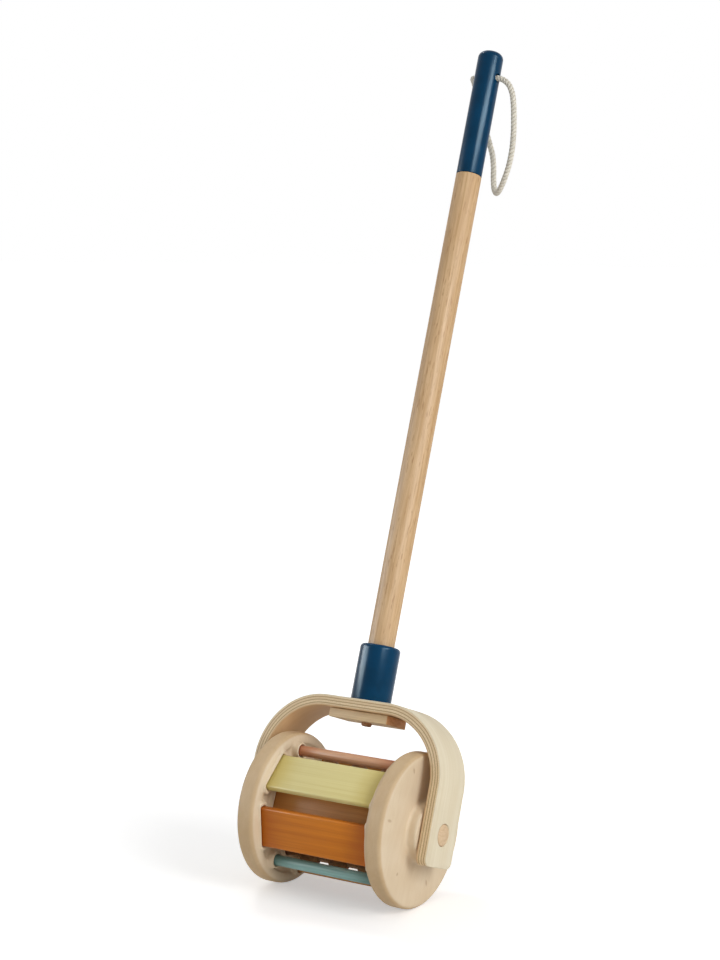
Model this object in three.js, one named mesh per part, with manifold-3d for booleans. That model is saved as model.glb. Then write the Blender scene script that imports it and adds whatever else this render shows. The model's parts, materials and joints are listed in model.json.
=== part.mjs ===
import * as THREE from 'three';
import { mergeVertices } from 'three/addons/utils/BufferGeometryUtils.js';
import Module from 'manifold-3d';

// Wooden push walker: a long round handle on a bent plywood fork that carries a slatted roller.
// Millimetres. In the handle's own frame the axle runs along X through the origin, Z goes up the
// handle, and the child walks towards -Y. The finished part leans the handle back and puts its
// origin in the middle of the hand grip.

// Clearances
const glueGap = 0.3;
const runGap = 0.4;
const bossGap = 1;

// Handle, grip and hanging cord
const handleLean = 20;
const handleTop = 543;
const rodDiameter = 18;
const gripLength = 92;
const gripEdge = 4.5;
const spigotDiameter = 11;
const spigotLength = 30;
const cordDiameter = 4.2;
const cordSlack = 2.2;
const cordHoleDrop = 19;

// Collar, fork and what bolts them to the handle
const collarWall = 4.35;
const collarLength = 37.8;
const collarEdge = 2.5;
const bendDrop = 21.3;
const forkBand = 34.4;
const forkThickness = 7.6;
const forkBend = 48;
const armDrop = 21;
const armCorner = 5;
const blockLength = 45;
const blockDepth = 26;
const blockHeight = 6;
const screwShank = 4.2;
const screwHead = 7;
const screwHeadHeight = 2.3;
const screwReach = 45;
const plugProud = 2.4;
const boreFloor = 1.8;

// Roller
const axleDiameter = 14;
const axleEdge = 0.6;
const discDiameter = 101;
const discThickness = 14.4;
const discSpacing = 83;
const discOuterEdge = 3.2;
const discInnerEdge = 4.5;
const bossDiameter = 40;
const bossHeight = 7.5;
const bossFillet = 2;
const rollerTurn = 3.5;

// Bars between the discs, and the sockets that hold their ends
const socketHeight = 1.2;
const dowelSocketHeight = 4.2;
const socketWall = 2;
const seatDepth = 6.2;
const slatWidth = 26.5;
const slatThickness = 5;
const slatArris = 1.2;
const slatInset = 7.8;
const slatStagger = 8.2;
const slatSpread = 26.3;
const dowelDiameter = 7;
const dowelInset = 10.7;
const dowelSpread = 67.6;

// Rattle beads
const beadBarDiameter = 7;
const beadBarInset = 12.1;
const beadDiameter = 16.4;
const beadEndGap = 10.4;

// Route of the cord, from inside the grip out on the right, down, and back in on the left,
// measured from the middle of the cord hole with Z straight up
const cordRoute = [
  [0.8, 0, 0], [4.5, 0, 0], [9, -0.1, -0.2], [14, -0.6, -1.8], [18.6, -1.4, -5.6],
  [21.6, -2.2, -11.8], [23.1, -3, -20], [23.6, -3.4, -29], [23.7, -3.7, -38], [22.9, -3.9, -49],
  [20.6, -3.8, -60], [16.6, -2.8, -69.8], [11.6, -0.2, -77.2], [6.6, 4, -80.2], [2.4, 8.2, -77.4],
  [0.2, 10.8, -70.2], [-0.3, 11.6, -61.6], [-1.4, 11.8, -53], [-4, 11.8, -44.4], [-7, 11.9, -35.6],
  [-10, 12, -26.8], [-12.7, 12.1, -18], [-14.4, 11.5, -9.6], [-15, 9.2, -3], [-13.9, 4.9, 0.3],
  [-10.6, 1.1, 0.4], [-6.4, 0, 0], [-0.8, 0, 0],
];
const cordSides = 8;
const cordSteps = 30;

// Roundness of turned and drilled faces
const discSegments = 44;
const rodSegments = 28;
const smallSegments = 20;
const arcDivisions = 2;

// Places that follow from the sizes, in the handle's frame
const rodRadius = rodDiameter / 2;
const gripFoot = handleTop - gripLength;
const gripMiddle = handleTop - gripLength / 2;
const cordHoleHeight = handleTop - cordHoleDrop;
const cordHoleRadius = (cordDiameter + cordSlack) / 2;
const rim = discDiameter / 2;
const discInner = discSpacing / 2;
const discOuter = discInner + discThickness;
const bossFace = discOuter + bossHeight;
const armInner = bossFace + bossGap;
const forkWidth = 2 * (armInner + forkThickness);
const forkRise = rim - bendDrop + forkBend;
const forkInner = forkRise - forkThickness;
const collarFoot = forkRise + glueGap;
const collarRadius = rodRadius + glueGap + collarWall;
const rodFoot = collarFoot;
const blockTop = forkInner - glueGap;
const blockFoot = blockTop - blockHeight;
const boreTop = blockTop - boreFloor;
const plugFoot = blockFoot - plugProud;
const screwTop = rodFoot + screwReach;
const screwHeadTop = boreTop - glueGap;
const socketFace = discInner - socketHeight;
const barHalf = socketFace + seatDepth;
const outerSlatFace = rim - slatInset;
const innerSlatFace = outerSlatFace - slatThickness - slatStagger;
const dowelRing = rim - dowelInset;
const beadBarRing = dowelRing - beadBarInset;
const beadRadius = beadDiameter / 2;
const beadHole = beadBarDiameter / 2 + runGap;
const beadHalf = Math.sqrt(beadRadius ** 2 - beadHole ** 2);
const beadSpacing = socketFace - beadEndGap - beadHalf;

const wasm = await Module();
wasm.setup();

// Axes of an outline drawn flat: across Y and Z and pushed along X, or across X and Z and pushed along Y
const alongX = new THREE.Matrix4().makeBasis(
  new THREE.Vector3(0, 1, 0), new THREE.Vector3(0, 0, 1), new THREE.Vector3(1, 0, 0));
const alongY = new THREE.Matrix4().makeBasis(
  new THREE.Vector3(1, 0, 0), new THREE.Vector3(0, 0, 1), new THREE.Vector3(0, -1, 0));

// Merge shared corners and drop the triangles that close up at an axis
function weld(geometry) {
  geometry.deleteAttribute('normal');
  geometry.deleteAttribute('uv');
  const merged = mergeVertices(geometry, 1e-4);
  const corners = merged.index.array;
  const kept = [];
  for (let i = 0; i < corners.length; i += 3) {
    const [a, b, c] = [corners[i], corners[i + 1], corners[i + 2]];
    if (a !== b && b !== c && c !== a) kept.push(a, b, c);
  }
  merged.setIndex(kept);
  return merged;
}

function toSolid(geometry) {
  const welded = weld(geometry);
  const vertProperties = Float32Array.from(welded.attributes.position.array);
  const triVerts = Uint32Array.from(welded.index.array);
  return new wasm.Manifold(new wasm.Mesh({ numProp: 3, vertProperties, triVerts }));
}

function toGeometry(solid) {
  const { vertProperties, triVerts } = solid.getMesh();
  const geometry = new THREE.BufferGeometry();
  geometry.setAttribute('position', new THREE.BufferAttribute(vertProperties, 3));
  geometry.setIndex(new THREE.BufferAttribute(triVerts, 1));
  return geometry;
}

// Outline of a turned piece in radius and height, traced up the outside and down the inside
function turned(outline, segments) {
  return new THREE.LatheGeometry(outline.getPoints(arcDivisions), segments);
}

function turnedUpright(outline, segments) {
  return turned(outline, segments).rotateX(Math.PI / 2);
}

function turnedAcross(outline, segments) {
  return turned(outline, segments).rotateZ(-Math.PI / 2);
}

// Plain round bar or drill between two heights, upright or across
function roundOutline(radius, low, high) {
  return new THREE.Path().moveTo(0, low).lineTo(radius, low).lineTo(radius, high).lineTo(0, high);
}

function uprightRound(radius, low, high, segments) {
  return turnedUpright(roundOutline(radius, low, high), segments);
}

function acrossRound(radius, low, high, segments) {
  return turnedAcross(roundOutline(radius, low, high), segments);
}

function pushedAcross(shape, from, to) {
  const settings = { depth: to - from, bevelEnabled: false, curveSegments: arcDivisions };
  return new THREE.ExtrudeGeometry(shape, settings).applyMatrix4(alongX).translate(from, 0, 0);
}

function pushedDeep(shape, depth) {
  const settings = { depth, bevelEnabled: false, curveSegments: 4 * arcDivisions };
  return new THREE.ExtrudeGeometry(shape, settings).applyMatrix4(alongY).translate(0, depth / 2, 0);
}

// Rectangle with rounded corners, from its middle and half sizes
function roundedBox(middleX, middleY, halfX, halfY, corner) {
  const shape = new THREE.Shape();
  const [left, right] = [middleX - halfX + corner, middleX + halfX - corner];
  const [low, high] = [middleY - halfY + corner, middleY + halfY - corner];
  shape.absarc(right, low, corner, -Math.PI / 2, 0);
  shape.absarc(right, high, corner, 0, Math.PI / 2);
  shape.absarc(left, high, corner, Math.PI / 2, Math.PI);
  shape.absarc(left, low, corner, Math.PI, 1.5 * Math.PI);
  shape.closePath();
  return shape;
}

function turnRad(degrees) {
  return THREE.MathUtils.degToRad(degrees);
}

// Finishes
const finish = {
  rod: { color: 0xd9b48a, roughness: 0.6, metalness: 0 },
  blue: { color: 0x0d3f63, roughness: 0.35, metalness: 0 },
  ply: { color: 0xe6d6b4, roughness: 0.55, metalness: 0 },
  disc: { color: 0xdcc09a, roughness: 0.65, metalness: 0 },
  natural: { color: 0xc69b6b, roughness: 0.6, metalness: 0 },
  plug: { color: 0xb07a4f, roughness: 0.55, metalness: 0 },
  yellow: { color: 0xd3c886, roughness: 0.5, metalness: 0 },
  orange: { color: 0xb9701f, roughness: 0.5, metalness: 0 },
  terracotta: { color: 0xb9795b, roughness: 0.5, metalness: 0 },
  teal: { color: 0x76a6a6, roughness: 0.5, metalness: 0 },
  cord: { color: 0xd8d0bd, roughness: 0.9, metalness: 0 },
  steel: { color: 0xb9bcc0, roughness: 0.35, metalness: 1 },
};

function piece(name, geometry, look) {
  const mesh = new THREE.Mesh(weld(geometry), new THREE.MeshStandardMaterial(look));
  mesh.name = name;
  return mesh;
}

// Handle rod: turned spigot under the grip, screw hole up the foot
function handleRod() {
  const shoulder = gripFoot - glueGap;
  const outline = new THREE.Path();
  outline.moveTo(0, rodFoot);
  outline.lineTo(rodRadius, rodFoot);
  outline.lineTo(rodRadius, shoulder);
  outline.lineTo(spigotDiameter / 2, shoulder);
  outline.lineTo(spigotDiameter / 2, shoulder + spigotLength);
  outline.lineTo(0, shoulder + spigotLength);
  const rod = toSolid(turnedUpright(outline, rodSegments));
  const holeTop = screwTop + glueGap;
  const hole = uprightRound(screwShank / 2 + glueGap, forkInner, holeTop, smallSegments);
  return piece('handle_rod', toGeometry(rod.subtract(toSolid(hole))), finish.rod);
}

// Grip: domed end, socket for the rod's spigot, cord hole straight across
function grip() {
  const socketRadius = spigotDiameter / 2 + glueGap;
  const socketTop = gripFoot + spigotLength;
  const outline = new THREE.Path();
  outline.moveTo(0, socketTop);
  outline.lineTo(socketRadius, socketTop);
  outline.lineTo(socketRadius, gripFoot);
  outline.lineTo(rodRadius, gripFoot);
  outline.lineTo(rodRadius, handleTop - gripEdge);
  outline.absarc(rodRadius - gripEdge, handleTop - gripEdge, gripEdge, 0, Math.PI / 2);
  outline.lineTo(0, handleTop);
  const body = toSolid(turnedUpright(outline, rodSegments));
  const drill = acrossRound(cordHoleRadius, -rodDiameter, rodDiameter, smallSegments);
  drill.translate(0, 0, cordHoleHeight);
  return piece('grip', toGeometry(body.subtract(toSolid(drill))), finish.blue);
}

// Hanging loop of twisted cord, both ends back in the cord hole
function hangCord() {
  const points = cordRoute.map((point) => new THREE.Vector3(...point));
  const path = new THREE.CatmullRomCurve3(points);
  const section = new THREE.Shape();
  for (let i = 0; i < cordSides; i += 1) {
    const angle = (2 * Math.PI * i) / cordSides;
    const corner = [Math.cos(angle) * cordDiameter / 2, Math.sin(angle) * cordDiameter / 2];
    if (i === 0) section.moveTo(...corner);
    else section.lineTo(...corner);
  }
  section.closePath();
  const settings = { steps: cordSteps, extrudePath: path, bevelEnabled: false };
  return piece('hang_cord', new THREE.ExtrudeGeometry(section, settings), finish.cord);
}

// Collar: ferrule round the foot of the rod
function collar() {
  const outer = collarRadius;
  const inner = rodRadius + glueGap;
  const top = collarFoot + collarLength;
  const outline = new THREE.Path();
  outline.moveTo(inner, collarFoot);
  outline.lineTo(outer, collarFoot);
  outline.lineTo(outer, top - collarEdge);
  outline.absarc(outer - collarEdge, top - collarEdge, collarEdge, 0, Math.PI / 2);
  outline.lineTo(inner, top);
  outline.lineTo(inner, collarFoot);
  return piece('collar', turnedUpright(outline, rodSegments), finish.blue);
}

// Fork: one plywood band bent into a U, its arm ends rounded off, drilled for the screw and the axle
function fork() {
  const half = forkWidth / 2;
  const innerBend = forkBend - forkThickness;
  const bendX = half - forkBend;
  const bendZ = forkRise - forkBend;
  const band = new THREE.Shape();
  band.moveTo(half, -armDrop);
  band.lineTo(half, bendZ);
  band.absarc(bendX, bendZ, forkBend, 0, Math.PI / 2);
  band.absarc(-bendX, bendZ, forkBend, Math.PI / 2, Math.PI);
  band.lineTo(-half, -armDrop);
  band.lineTo(-armInner, -armDrop);
  band.absarc(-bendX, bendZ, innerBend, Math.PI, Math.PI / 2, true);
  band.absarc(bendX, bendZ, innerBend, Math.PI / 2, 0, true);
  band.lineTo(armInner, -armDrop);
  band.closePath();
  const sideHalf = (forkRise + armDrop) / 2 + armCorner;
  const side = roundedBox(0, sideHalf - armDrop, forkBand / 2, sideHalf, armCorner);
  const rounded = toSolid(pushedAcross(side, -forkWidth, forkWidth));
  const axleHole = acrossRound(axleDiameter / 2 + glueGap, -forkWidth, forkWidth, rodSegments);
  const screwHole = uprightRound(screwShank / 2 + glueGap, 0, 2 * forkRise, smallSegments);
  const solid = toSolid(pushedDeep(band, forkBand))
    .intersect(rounded)
    .subtract(toSolid(axleHole))
    .subtract(toSolid(screwHole));
  return piece('fork', toGeometry(solid), finish.ply);
}

// Spacer block under the fork, bored for the screw head and its plug
function spacerBlock() {
  const box = new THREE.BoxGeometry(blockLength, blockDepth, blockHeight);
  box.translate(0, 0, blockTop - blockHeight / 2);
  const bore = uprightRound(screwHead / 2 + glueGap, plugFoot, boreTop, smallSegments);
  const hole = uprightRound(screwShank / 2 + glueGap, blockFoot, forkRise, smallSegments);
  const solid = toSolid(box).subtract(toSolid(bore)).subtract(toSolid(hole));
  return piece('spacer_block', toGeometry(solid), finish.ply);
}

// Screw that pulls the block, the fork and the rod together
function handleScrew() {
  const outline = new THREE.Path();
  outline.moveTo(0, screwHeadTop - screwHeadHeight);
  outline.lineTo(screwHead / 2, screwHeadTop - screwHeadHeight);
  outline.lineTo(screwHead / 2, screwHeadTop);
  outline.lineTo(screwShank / 2, screwHeadTop);
  outline.lineTo(screwShank / 2, screwTop - screwShank / 2);
  outline.lineTo(0, screwTop);
  return piece('handle_screw', turnedUpright(outline, smallSegments), finish.steel);
}

// Round wooden plug over the screw head
function screwPlug() {
  const radius = screwHead / 2;
  const dome = plugProud / 2;
  const top = screwHeadTop - screwHeadHeight - glueGap;
  const outline = new THREE.Path();
  outline.moveTo(0, plugFoot);
  outline.lineTo(radius - dome, plugFoot);
  outline.absarc(radius - dome, plugFoot + dome, dome, -Math.PI / 2, 0);
  outline.lineTo(radius, top);
  outline.lineTo(0, top);
  return piece('screw_plug', turnedUpright(outline, smallSegments), finish.plug);
}

// Axle: fixed in both fork arms, its ends flush with their outer faces
function axle() {
  const radius = axleDiameter / 2;
  const end = forkWidth / 2;
  const outline = new THREE.Path();
  outline.moveTo(0, -end);
  outline.lineTo(radius - axleEdge, -end);
  outline.lineTo(radius, axleEdge - end);
  outline.lineTo(radius, end - axleEdge);
  outline.lineTo(radius - axleEdge, end);
  outline.lineTo(0, end);
  return piece('axle', turnedAcross(outline, rodSegments), finish.natural);
}

// Section of a bar at the front of the roller, across Y and Z, grown all round by a margin
function slatSection(face, margin) {
  const middle = slatThickness / 2 - face;
  const halfThick = slatThickness / 2 + margin;
  return roundedBox(middle, 0, halfThick, slatWidth / 2 + margin, slatArris + margin);
}

function roundSection(diameter, ring, margin) {
  const shape = new THREE.Shape();
  const quarter = Math.PI / 2;
  for (let i = 0; i < 4; i += 1) {
    shape.absarc(-ring, 0, diameter / 2 + margin, i * quarter, (i + 1) * quarter);
  }
  return shape;
}

const outerSlat = (margin) => slatSection(outerSlatFace, margin);
const innerSlat = (margin) => slatSection(innerSlatFace, margin);
const dowel = (margin) => roundSection(dowelDiameter, dowelRing, margin);
const beadBar = (margin) => roundSection(beadBarDiameter, beadBarRing, margin);

// Every bar of the roller by its turn from the front, counted upwards: the back repeats the front
const bars = [
  { name: 'slat_yellow', turn: slatSpread, section: outerSlat, look: finish.yellow },
  { name: 'slat_orange', turn: -slatSpread, section: outerSlat, look: finish.orange },
  { name: 'slat_inner_front', turn: 0, section: innerSlat, look: finish.natural },
  { name: 'slat_back_upper', turn: 180 - slatSpread, section: outerSlat, look: finish.natural },
  { name: 'slat_back_lower', turn: 180 + slatSpread, section: outerSlat, look: finish.natural },
  { name: 'slat_inner_back', turn: 180, section: innerSlat, look: finish.natural },
  { name: 'dowel_terracotta', turn: dowelSpread, section: dowel, look: finish.terracotta },
  { name: 'dowel_teal', turn: -dowelSpread, section: dowel, look: finish.teal },
  { name: 'dowel_back_upper', turn: 180 - dowelSpread, section: dowel, look: finish.natural },
  { name: 'dowel_back_lower', turn: 180 + dowelSpread, section: dowel, look: finish.natural },
  { name: 'bead_bar_lower', turn: -90, section: beadBar, look: finish.natural },
  { name: 'bead_bar_upper', turn: 90, section: beadBar, look: finish.natural },
];

function bar({ name, turn, section, look }) {
  const geometry = pushedAcross(section(0), -barHalf, barHalf);
  return piece(name, geometry.rotateX(-turnRad(turn)), look);
}

// Disc on the right: moulded wheel with a hub boss outside and a raised socket for each bar inside
function discGeometry() {
  const bore = axleDiameter / 2 + runGap;
  const boss = bossDiameter / 2;
  const outline = new THREE.Path();
  outline.moveTo(bore, discInner);
  outline.lineTo(rim - discInnerEdge, discInner);
  outline.absarc(rim - discInnerEdge, discInner + discInnerEdge, discInnerEdge, -Math.PI / 2, 0);
  outline.lineTo(rim, discOuter - discOuterEdge);
  outline.absarc(rim - discOuterEdge, discOuter - discOuterEdge, discOuterEdge, 0, Math.PI / 2);
  outline.lineTo(boss + bossFillet, discOuter);
  outline.absarc(boss + bossFillet, discOuter + bossFillet, bossFillet, -Math.PI / 2, Math.PI, true);
  outline.lineTo(boss, bossFace - bossFillet);
  outline.absarc(boss - bossFillet, bossFace - bossFillet, bossFillet, 0, Math.PI / 2);
  outline.lineTo(bore, bossFace);
  outline.lineTo(bore, discInner);
  let disc = toSolid(turnedAcross(outline, discSegments));
  const middle = discInner + discThickness / 2;
  for (const { turn, section } of bars) {
    const height = section === dowel ? dowelSocketHeight : socketHeight;
    const rise = pushedAcross(section(socketWall), discInner - height, middle);
    disc = disc.add(toSolid(rise.rotateX(-turnRad(turn))));
  }
  for (const { turn, section } of bars) {
    const pocket = pushedAcross(section(glueGap), 0, barHalf + glueGap);
    disc = disc.subtract(toSolid(pocket.rotateX(-turnRad(turn))));
  }
  return toGeometry(disc);
}

// The left disc is the right one turned round the roller's front
function discs() {
  const right = piece('disc_right', discGeometry(), finish.disc);
  const left = piece('disc_left', discGeometry(), finish.disc);
  left.rotation.y = Math.PI;
  return [left, right];
}

// Rattle bead, free to spin on its bar
function bead(name, side, place) {
  const start = Math.acos(beadHole / beadRadius);
  const outline = new THREE.Path();
  outline.absarc(0, 0, beadRadius, -start, start);
  outline.lineTo(beadHole, -beadHalf);
  const points = outline.getPoints(2 * arcDivisions);
  const geometry = new THREE.LatheGeometry(points, smallSegments).rotateZ(-Math.PI / 2);
  const mesh = piece(name, geometry, finish.natural);
  mesh.position.set(place * beadSpacing, 0, side * beadBarRing);
  return mesh;
}

function beads() {
  const places = { left: -1, middle: 0, right: 1 };
  const rows = { lower: -1, upper: 1 };
  const made = [];
  for (const [row, side] of Object.entries(rows)) {
    for (const [where, place] of Object.entries(places)) {
      made.push(bead(`bead_${row}_${where}`, side, place));
    }
  }
  return made;
}

// Roller in its own group, turned to the angle that it rests at
const roller = new THREE.Group();
roller.add(...discs(), ...bars.map(bar), ...beads());
roller.rotation.x = -turnRad(rollerTurn);

// Everything that follows the handle's slope
const sloped = new THREE.Group();
sloped.add(handleRod(), grip(), collar(), fork(), spacerBlock(), handleScrew(), screwPlug(), axle());
sloped.add(roller);
sloped.rotation.x = -turnRad(handleLean);
const gripPoint = new THREE.Vector3(0, 0, gripMiddle).applyEuler(sloped.rotation);
sloped.position.copy(gripPoint).negate();

// The cord hangs plumb from the sloping grip
const cord = hangCord();
cord.position.set(0, 0, cordHoleHeight - gripMiddle).applyEuler(sloped.rotation);

const walker = new THREE.Group();
walker.add(sloped, cord);

export default walker;
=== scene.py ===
import json
import math

import bpy
from mathutils import Matrix, Vector


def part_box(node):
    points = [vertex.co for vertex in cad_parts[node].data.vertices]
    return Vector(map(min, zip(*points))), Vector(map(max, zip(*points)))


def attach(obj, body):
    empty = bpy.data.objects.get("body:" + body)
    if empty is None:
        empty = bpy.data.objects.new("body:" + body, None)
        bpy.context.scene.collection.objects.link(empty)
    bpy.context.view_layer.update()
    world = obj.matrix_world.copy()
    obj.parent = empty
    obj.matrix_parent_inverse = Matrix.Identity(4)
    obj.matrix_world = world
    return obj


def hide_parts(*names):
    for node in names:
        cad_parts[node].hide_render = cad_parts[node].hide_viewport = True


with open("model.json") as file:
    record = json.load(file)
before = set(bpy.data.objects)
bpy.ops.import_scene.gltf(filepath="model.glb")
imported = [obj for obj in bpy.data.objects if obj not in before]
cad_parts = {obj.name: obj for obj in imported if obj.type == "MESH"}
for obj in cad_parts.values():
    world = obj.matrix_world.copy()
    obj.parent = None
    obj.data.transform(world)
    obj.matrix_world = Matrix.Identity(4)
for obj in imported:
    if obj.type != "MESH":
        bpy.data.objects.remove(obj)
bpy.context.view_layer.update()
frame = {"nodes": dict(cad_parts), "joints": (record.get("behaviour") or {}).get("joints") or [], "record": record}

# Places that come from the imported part, in metres
jointAt = {joint["name"]: Vector(joint["pos_m"]) for joint in frame["joints"]}
gripAxis = next(mount["axis"] for mount in frame["record"]["mounts"] if mount["name"] == "hand_grip")
axleAt = jointAt["roller_spin"]
lean = math.atan2(gripAxis[1], gripAxis[2])
handleLength = axleAt.length  # from the axle to the origin, which is the middle of the grip
beadArm = jointAt["bead_lower_middle_spin"] - axleAt
rollerTilt = math.atan2(-beadArm.y, -beadArm.z)
handleToRow = Matrix.Translation(axleAt) @ Matrix.Rotation(-lean, 4, "X")
rollerToRow = Matrix.Translation(axleAt) @ Matrix.Rotation(-rollerTilt, 4, "X")
floorHeight = min(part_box("disc_left")[0].z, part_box("disc_right")[0].z)

# Gaps between pieces, how far a drill runs past the wood, and edges that are only broken with sandpaper
fits = dict(glueGap=0.0003, softLip=0.00055, drillPast=0.01)
fineEdge = dict(width=0.0003, segments=2, angle=60)
onFace = 1e-5  # points this close to a face lie on it
mergeGap = 1e-6  # points this close together are one


# Camera, standing where the photograph was taken from; its place is measured in the handle's frame
cameraSet = dict(place=(0.6817, -1.1294, -0.0094), turn=32.33, tilt=-6.89, roll=0.13, lens=73.83, sensor=36)


def addCamera():
    data = bpy.data.cameras.new("photoCamera")
    data.lens = cameraSet["lens"]
    data.sensor_width = cameraSet["sensor"]
    camera = bpy.data.objects.new("photoCamera", data)
    bpy.context.scene.collection.objects.link(camera)
    aim = Matrix.Rotation(math.radians(cameraSet["turn"]), 4, "Z")
    aim = aim @ Matrix.Rotation(math.radians(90 + cameraSet["tilt"]), 4, "X")
    aim = aim @ Matrix.Rotation(math.radians(cameraSet["roll"]), 4, "Z")
    camera.matrix_world = Matrix.Translation(handleToRow @ Vector(cameraSet["place"])) @ aim
    bpy.context.scene.camera = camera


addCamera()
print("camera set")


# Shader maths: a wire is a socket that can be added, multiplied and so on
class Wire:
    def __init__(self, tree, socket):
        self.tree = tree
        self.socket = socket

    def node(self, kind, settings, sockets, output=0):
        made = self.tree.nodes.new(kind)
        for name, value in settings.items():
            setattr(made, name, value)
        for name, value in sockets.items():
            if isinstance(value, Wire):
                self.tree.links.new(value.socket, made.inputs[name])
            else:
                made.inputs[name].default_value = value
        return Wire(self.tree, made.outputs[output])

    def maths(self, operation, first, second=0.0):
        return self.node("ShaderNodeMath", {"operation": operation}, {0: first, 1: second})

    def __add__(self, other):
        return self.maths("ADD", self, other)

    def __radd__(self, other):
        return self.maths("ADD", other, self)

    def __sub__(self, other):
        return self.maths("SUBTRACT", self, other)

    def __rsub__(self, other):
        return self.maths("SUBTRACT", other, self)

    def __mul__(self, other):
        return self.maths("MULTIPLY", self, other)

    def __rmul__(self, other):
        return self.maths("MULTIPLY", other, self)

    def __truediv__(self, other):
        return self.maths("DIVIDE", self, other)

    def __pow__(self, other):
        return self.maths("POWER", self, other)

    def __abs__(self):
        return self.maths("ABSOLUTE", self)

    def floor(self):
        return self.maths("FLOOR", self)

    def atLeast(self, low):
        return self.maths("MAXIMUM", self, low)

    def atMost(self, high):
        return self.maths("MINIMUM", self, high)

    def between(self, low, high):  # 0 below low, 1 above high, smooth between them
        settings = {"interpolation_type": "SMOOTHSTEP"}
        return self.node("ShaderNodeMapRange", settings, {0: self, 1: low, 2: high, 3: 0.0, 4: 1.0})

    def axes(self):
        return [self.node("ShaderNodeSeparateXYZ", {}, {0: self}, i) for i in range(3)]

    def facing(self):  # the way the surface faces, axis by axis
        return self.node("ShaderNodeNewGeometry", {}, {}, "Normal").axes()

    def stretched(self, x, y, z):
        return self.node("ShaderNodeVectorMath", {"operation": "MULTIPLY"}, {0: self, 1: (x, y, z)})

    def turnedBack(self, place, turn):  # coordinates of a piece before it was turned about X and moved
        sockets = {"Vector": self, "Location": tuple(place), "Rotation": (turn, 0, 0)}
        return self.node("ShaderNodeMapping", {"vector_type": "TEXTURE"}, sockets)

    def noise(self, scale, detail=3.0, rough=0.55, warp=0.0):
        sockets = {"Vector": self, "Scale": scale, "Detail": detail, "Roughness": rough, "Distortion": warp}
        return self.node("ShaderNodeTexNoise", {}, sockets)

    def streaks(self, scales, detail=3.0, rough=0.55, warp=0.0):  # noise with its own scale on each axis
        return self.stretched(*scales).noise(1.0, detail, rough, warp)

    def mix(self, first, second):  # this wire's value goes from the first colour to the second
        return self.node("ShaderNodeMix", {"data_type": "RGBA"}, {0: self, 6: first, 7: second}, 2)

    def tone(self, finish):  # from a finish's deep colour to its pale one
        return self.mix(screen(finish["deep"]), screen(finish["pale"]))

    def bump(self, depth, strength=1.0):
        return self.node("ShaderNodeBump", {}, {"Strength": strength, "Distance": depth, "Height": self})


def screen(color):  # red, green and blue as a screen shows them, 0 to 255, in the scene's own numbers
    def one(value):
        share = value / 255
        return share / 12.92 if share <= 0.04045 else ((share + 0.055) / 1.055) ** 2.4
    red, green, blue = color
    return (one(red), one(green), one(blue), 1.0)


def newMaterial(name):
    material = bpy.data.materials.new(name)
    material.use_nodes = True
    tree = material.node_tree
    tree.nodes.clear()
    shader = tree.nodes.new("ShaderNodeBsdfPrincipled")
    output = tree.nodes.new("ShaderNodeOutputMaterial")
    tree.links.new(shader.outputs[0], output.inputs[0])
    coords = tree.nodes.new("ShaderNodeTexCoord")
    return material, shader, Wire(tree, coords.outputs["Object"])


def feed(shader, wires, constants):
    tree = shader.id_data
    for name, wire in wires.items():
        tree.links.new(wire.socket, shader.inputs[name])
    for name, value in constants.items():
        shader.inputs[name].default_value = value


def dress(shader, finish, color, extraRough, height):
    relief = height.bump(finish["relief"], finish["reliefShare"])
    wires = {"Base Color": color, "Roughness": finish["rough"] + extraRough, "Normal": relief}
    feed(shader, wires, {"Specular IOR Level": finish["gloss"]})


# Modelling helpers
def clearSelection():
    bpy.ops.object.select_all(action="DESELECT")


def pickUp(piece):
    clearSelection()
    piece.select_set(True)
    bpy.context.view_layer.objects.active = piece


def settle(name):  # name what was just added, with its place in its mesh
    piece = bpy.context.object
    piece.name = name
    piece.data.name = name
    bpy.ops.object.transform_apply(location=True, rotation=True, scale=True)
    return piece


def addRound(name, radius, low, high, sides, across=False):
    clearSelection()
    middle = (low + high) / 2
    place = (middle, 0, 0) if across else (0, 0, middle)
    turn = (0, math.pi / 2, 0) if across else (0, 0, 0)
    bpy.ops.mesh.primitive_cylinder_add(
        vertices=sides, radius=radius, depth=high - low, location=place, rotation=turn)
    return settle(name)


def addBlock(name, low, high):
    clearSelection()
    low, high = Vector(low), Vector(high)
    bpy.ops.mesh.primitive_cube_add(size=1, location=(low + high) / 2, scale=high - low)
    return settle(name)


def startEdit(piece, kind):
    pickUp(piece)
    bpy.ops.object.mode_set(mode="EDIT")
    bpy.ops.mesh.select_mode(type=kind)
    bpy.ops.mesh.select_all(action="DESELECT")
    bpy.ops.object.mode_set(mode="OBJECT")


def endEdit():
    bpy.ops.object.mode_set(mode="OBJECT")


def pickFaces(piece, test):  # the test sees a face's middle and its normal
    startEdit(piece, "FACE")
    for face in piece.data.polygons:
        face.select = test(face.center, face.normal)
    bpy.ops.object.mode_set(mode="EDIT")


def facesUp(middle, normal):
    return normal.z > 0.9


def facesDown(middle, normal):
    return normal.z < -0.9


def pickEdges(piece, test):  # the test sees an edge's two ends
    startEdit(piece, "EDGE")
    points = piece.data.vertices
    for edge in piece.data.edges:
        edge.select = test(*[points[i].co for i in edge.vertices])
    bpy.ops.object.mode_set(mode="EDIT")


def bothEnds(test):
    return lambda first, second: test(first) and test(second)


def roundPicked(size, segments):
    bpy.ops.mesh.bevel(offset=size, segments=segments, profile=0.5, affect="EDGES")
    endEdit()


def roundEdges(piece, test, size, segments):  # edges whose two ends both pass the test
    pickEdges(piece, bothEnds(test))
    roundPicked(size, segments)


def push(offset):
    bpy.ops.mesh.extrude_region_move(TRANSFORM_OT_translate={"value": tuple(offset)})


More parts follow.
